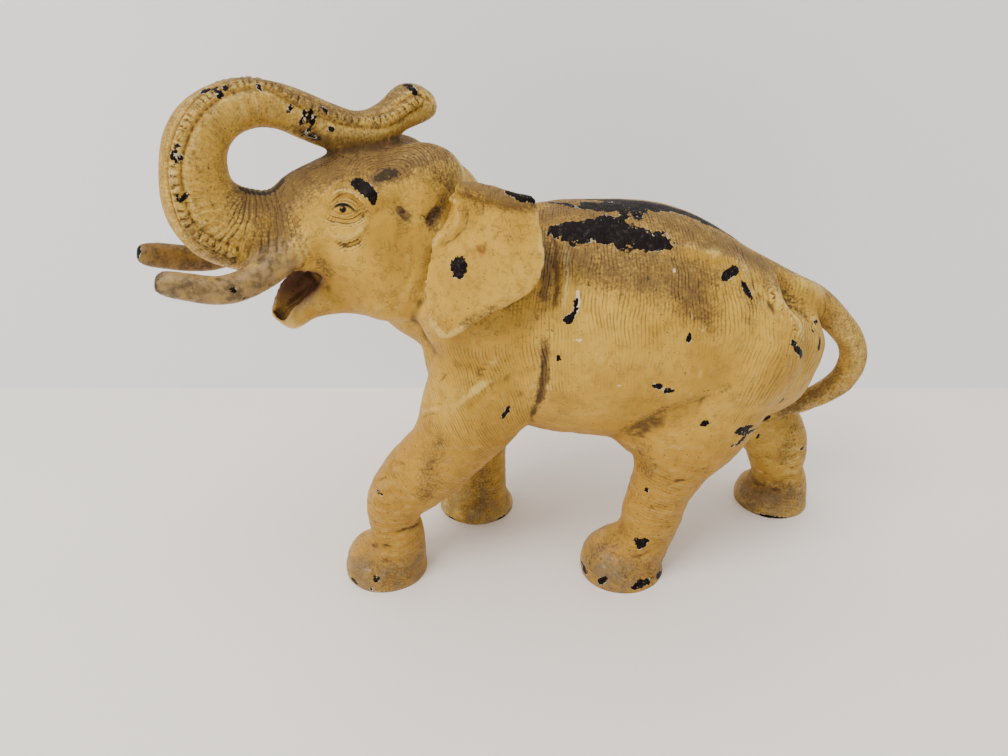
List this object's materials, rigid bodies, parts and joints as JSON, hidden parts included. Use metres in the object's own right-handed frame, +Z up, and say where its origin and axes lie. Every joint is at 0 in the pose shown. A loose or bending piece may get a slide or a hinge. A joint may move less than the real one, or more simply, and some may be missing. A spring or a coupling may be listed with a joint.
{
  "type": "cast iron doorstop",
  "caption": "Heavy cast iron doorstop in the form of a striding elephant with its trunk curled back over its forehead, in worn ochre paint.",
  "frame": {"origin": "middle of the bounding box at floor level, under the belly", "axes": "+X from the head to the tail, +Y towards the elephant's right side, +Z up"},
  "size_m": [0.2974, 0.1174, 0.2095],
  "materials": {
    "painted_iron": "old ochre paint with a brown wash, chipped to dark iron",
    "screw_steel": "dark, slightly rusty"
  },
  "bodies": {
    "root": {"left_casting": "painted_iron", "right_casting": "painted_iron", "front_screw": "screw_steel", "rear_screw": "screw_steel"}
  },
  "joints": []
}
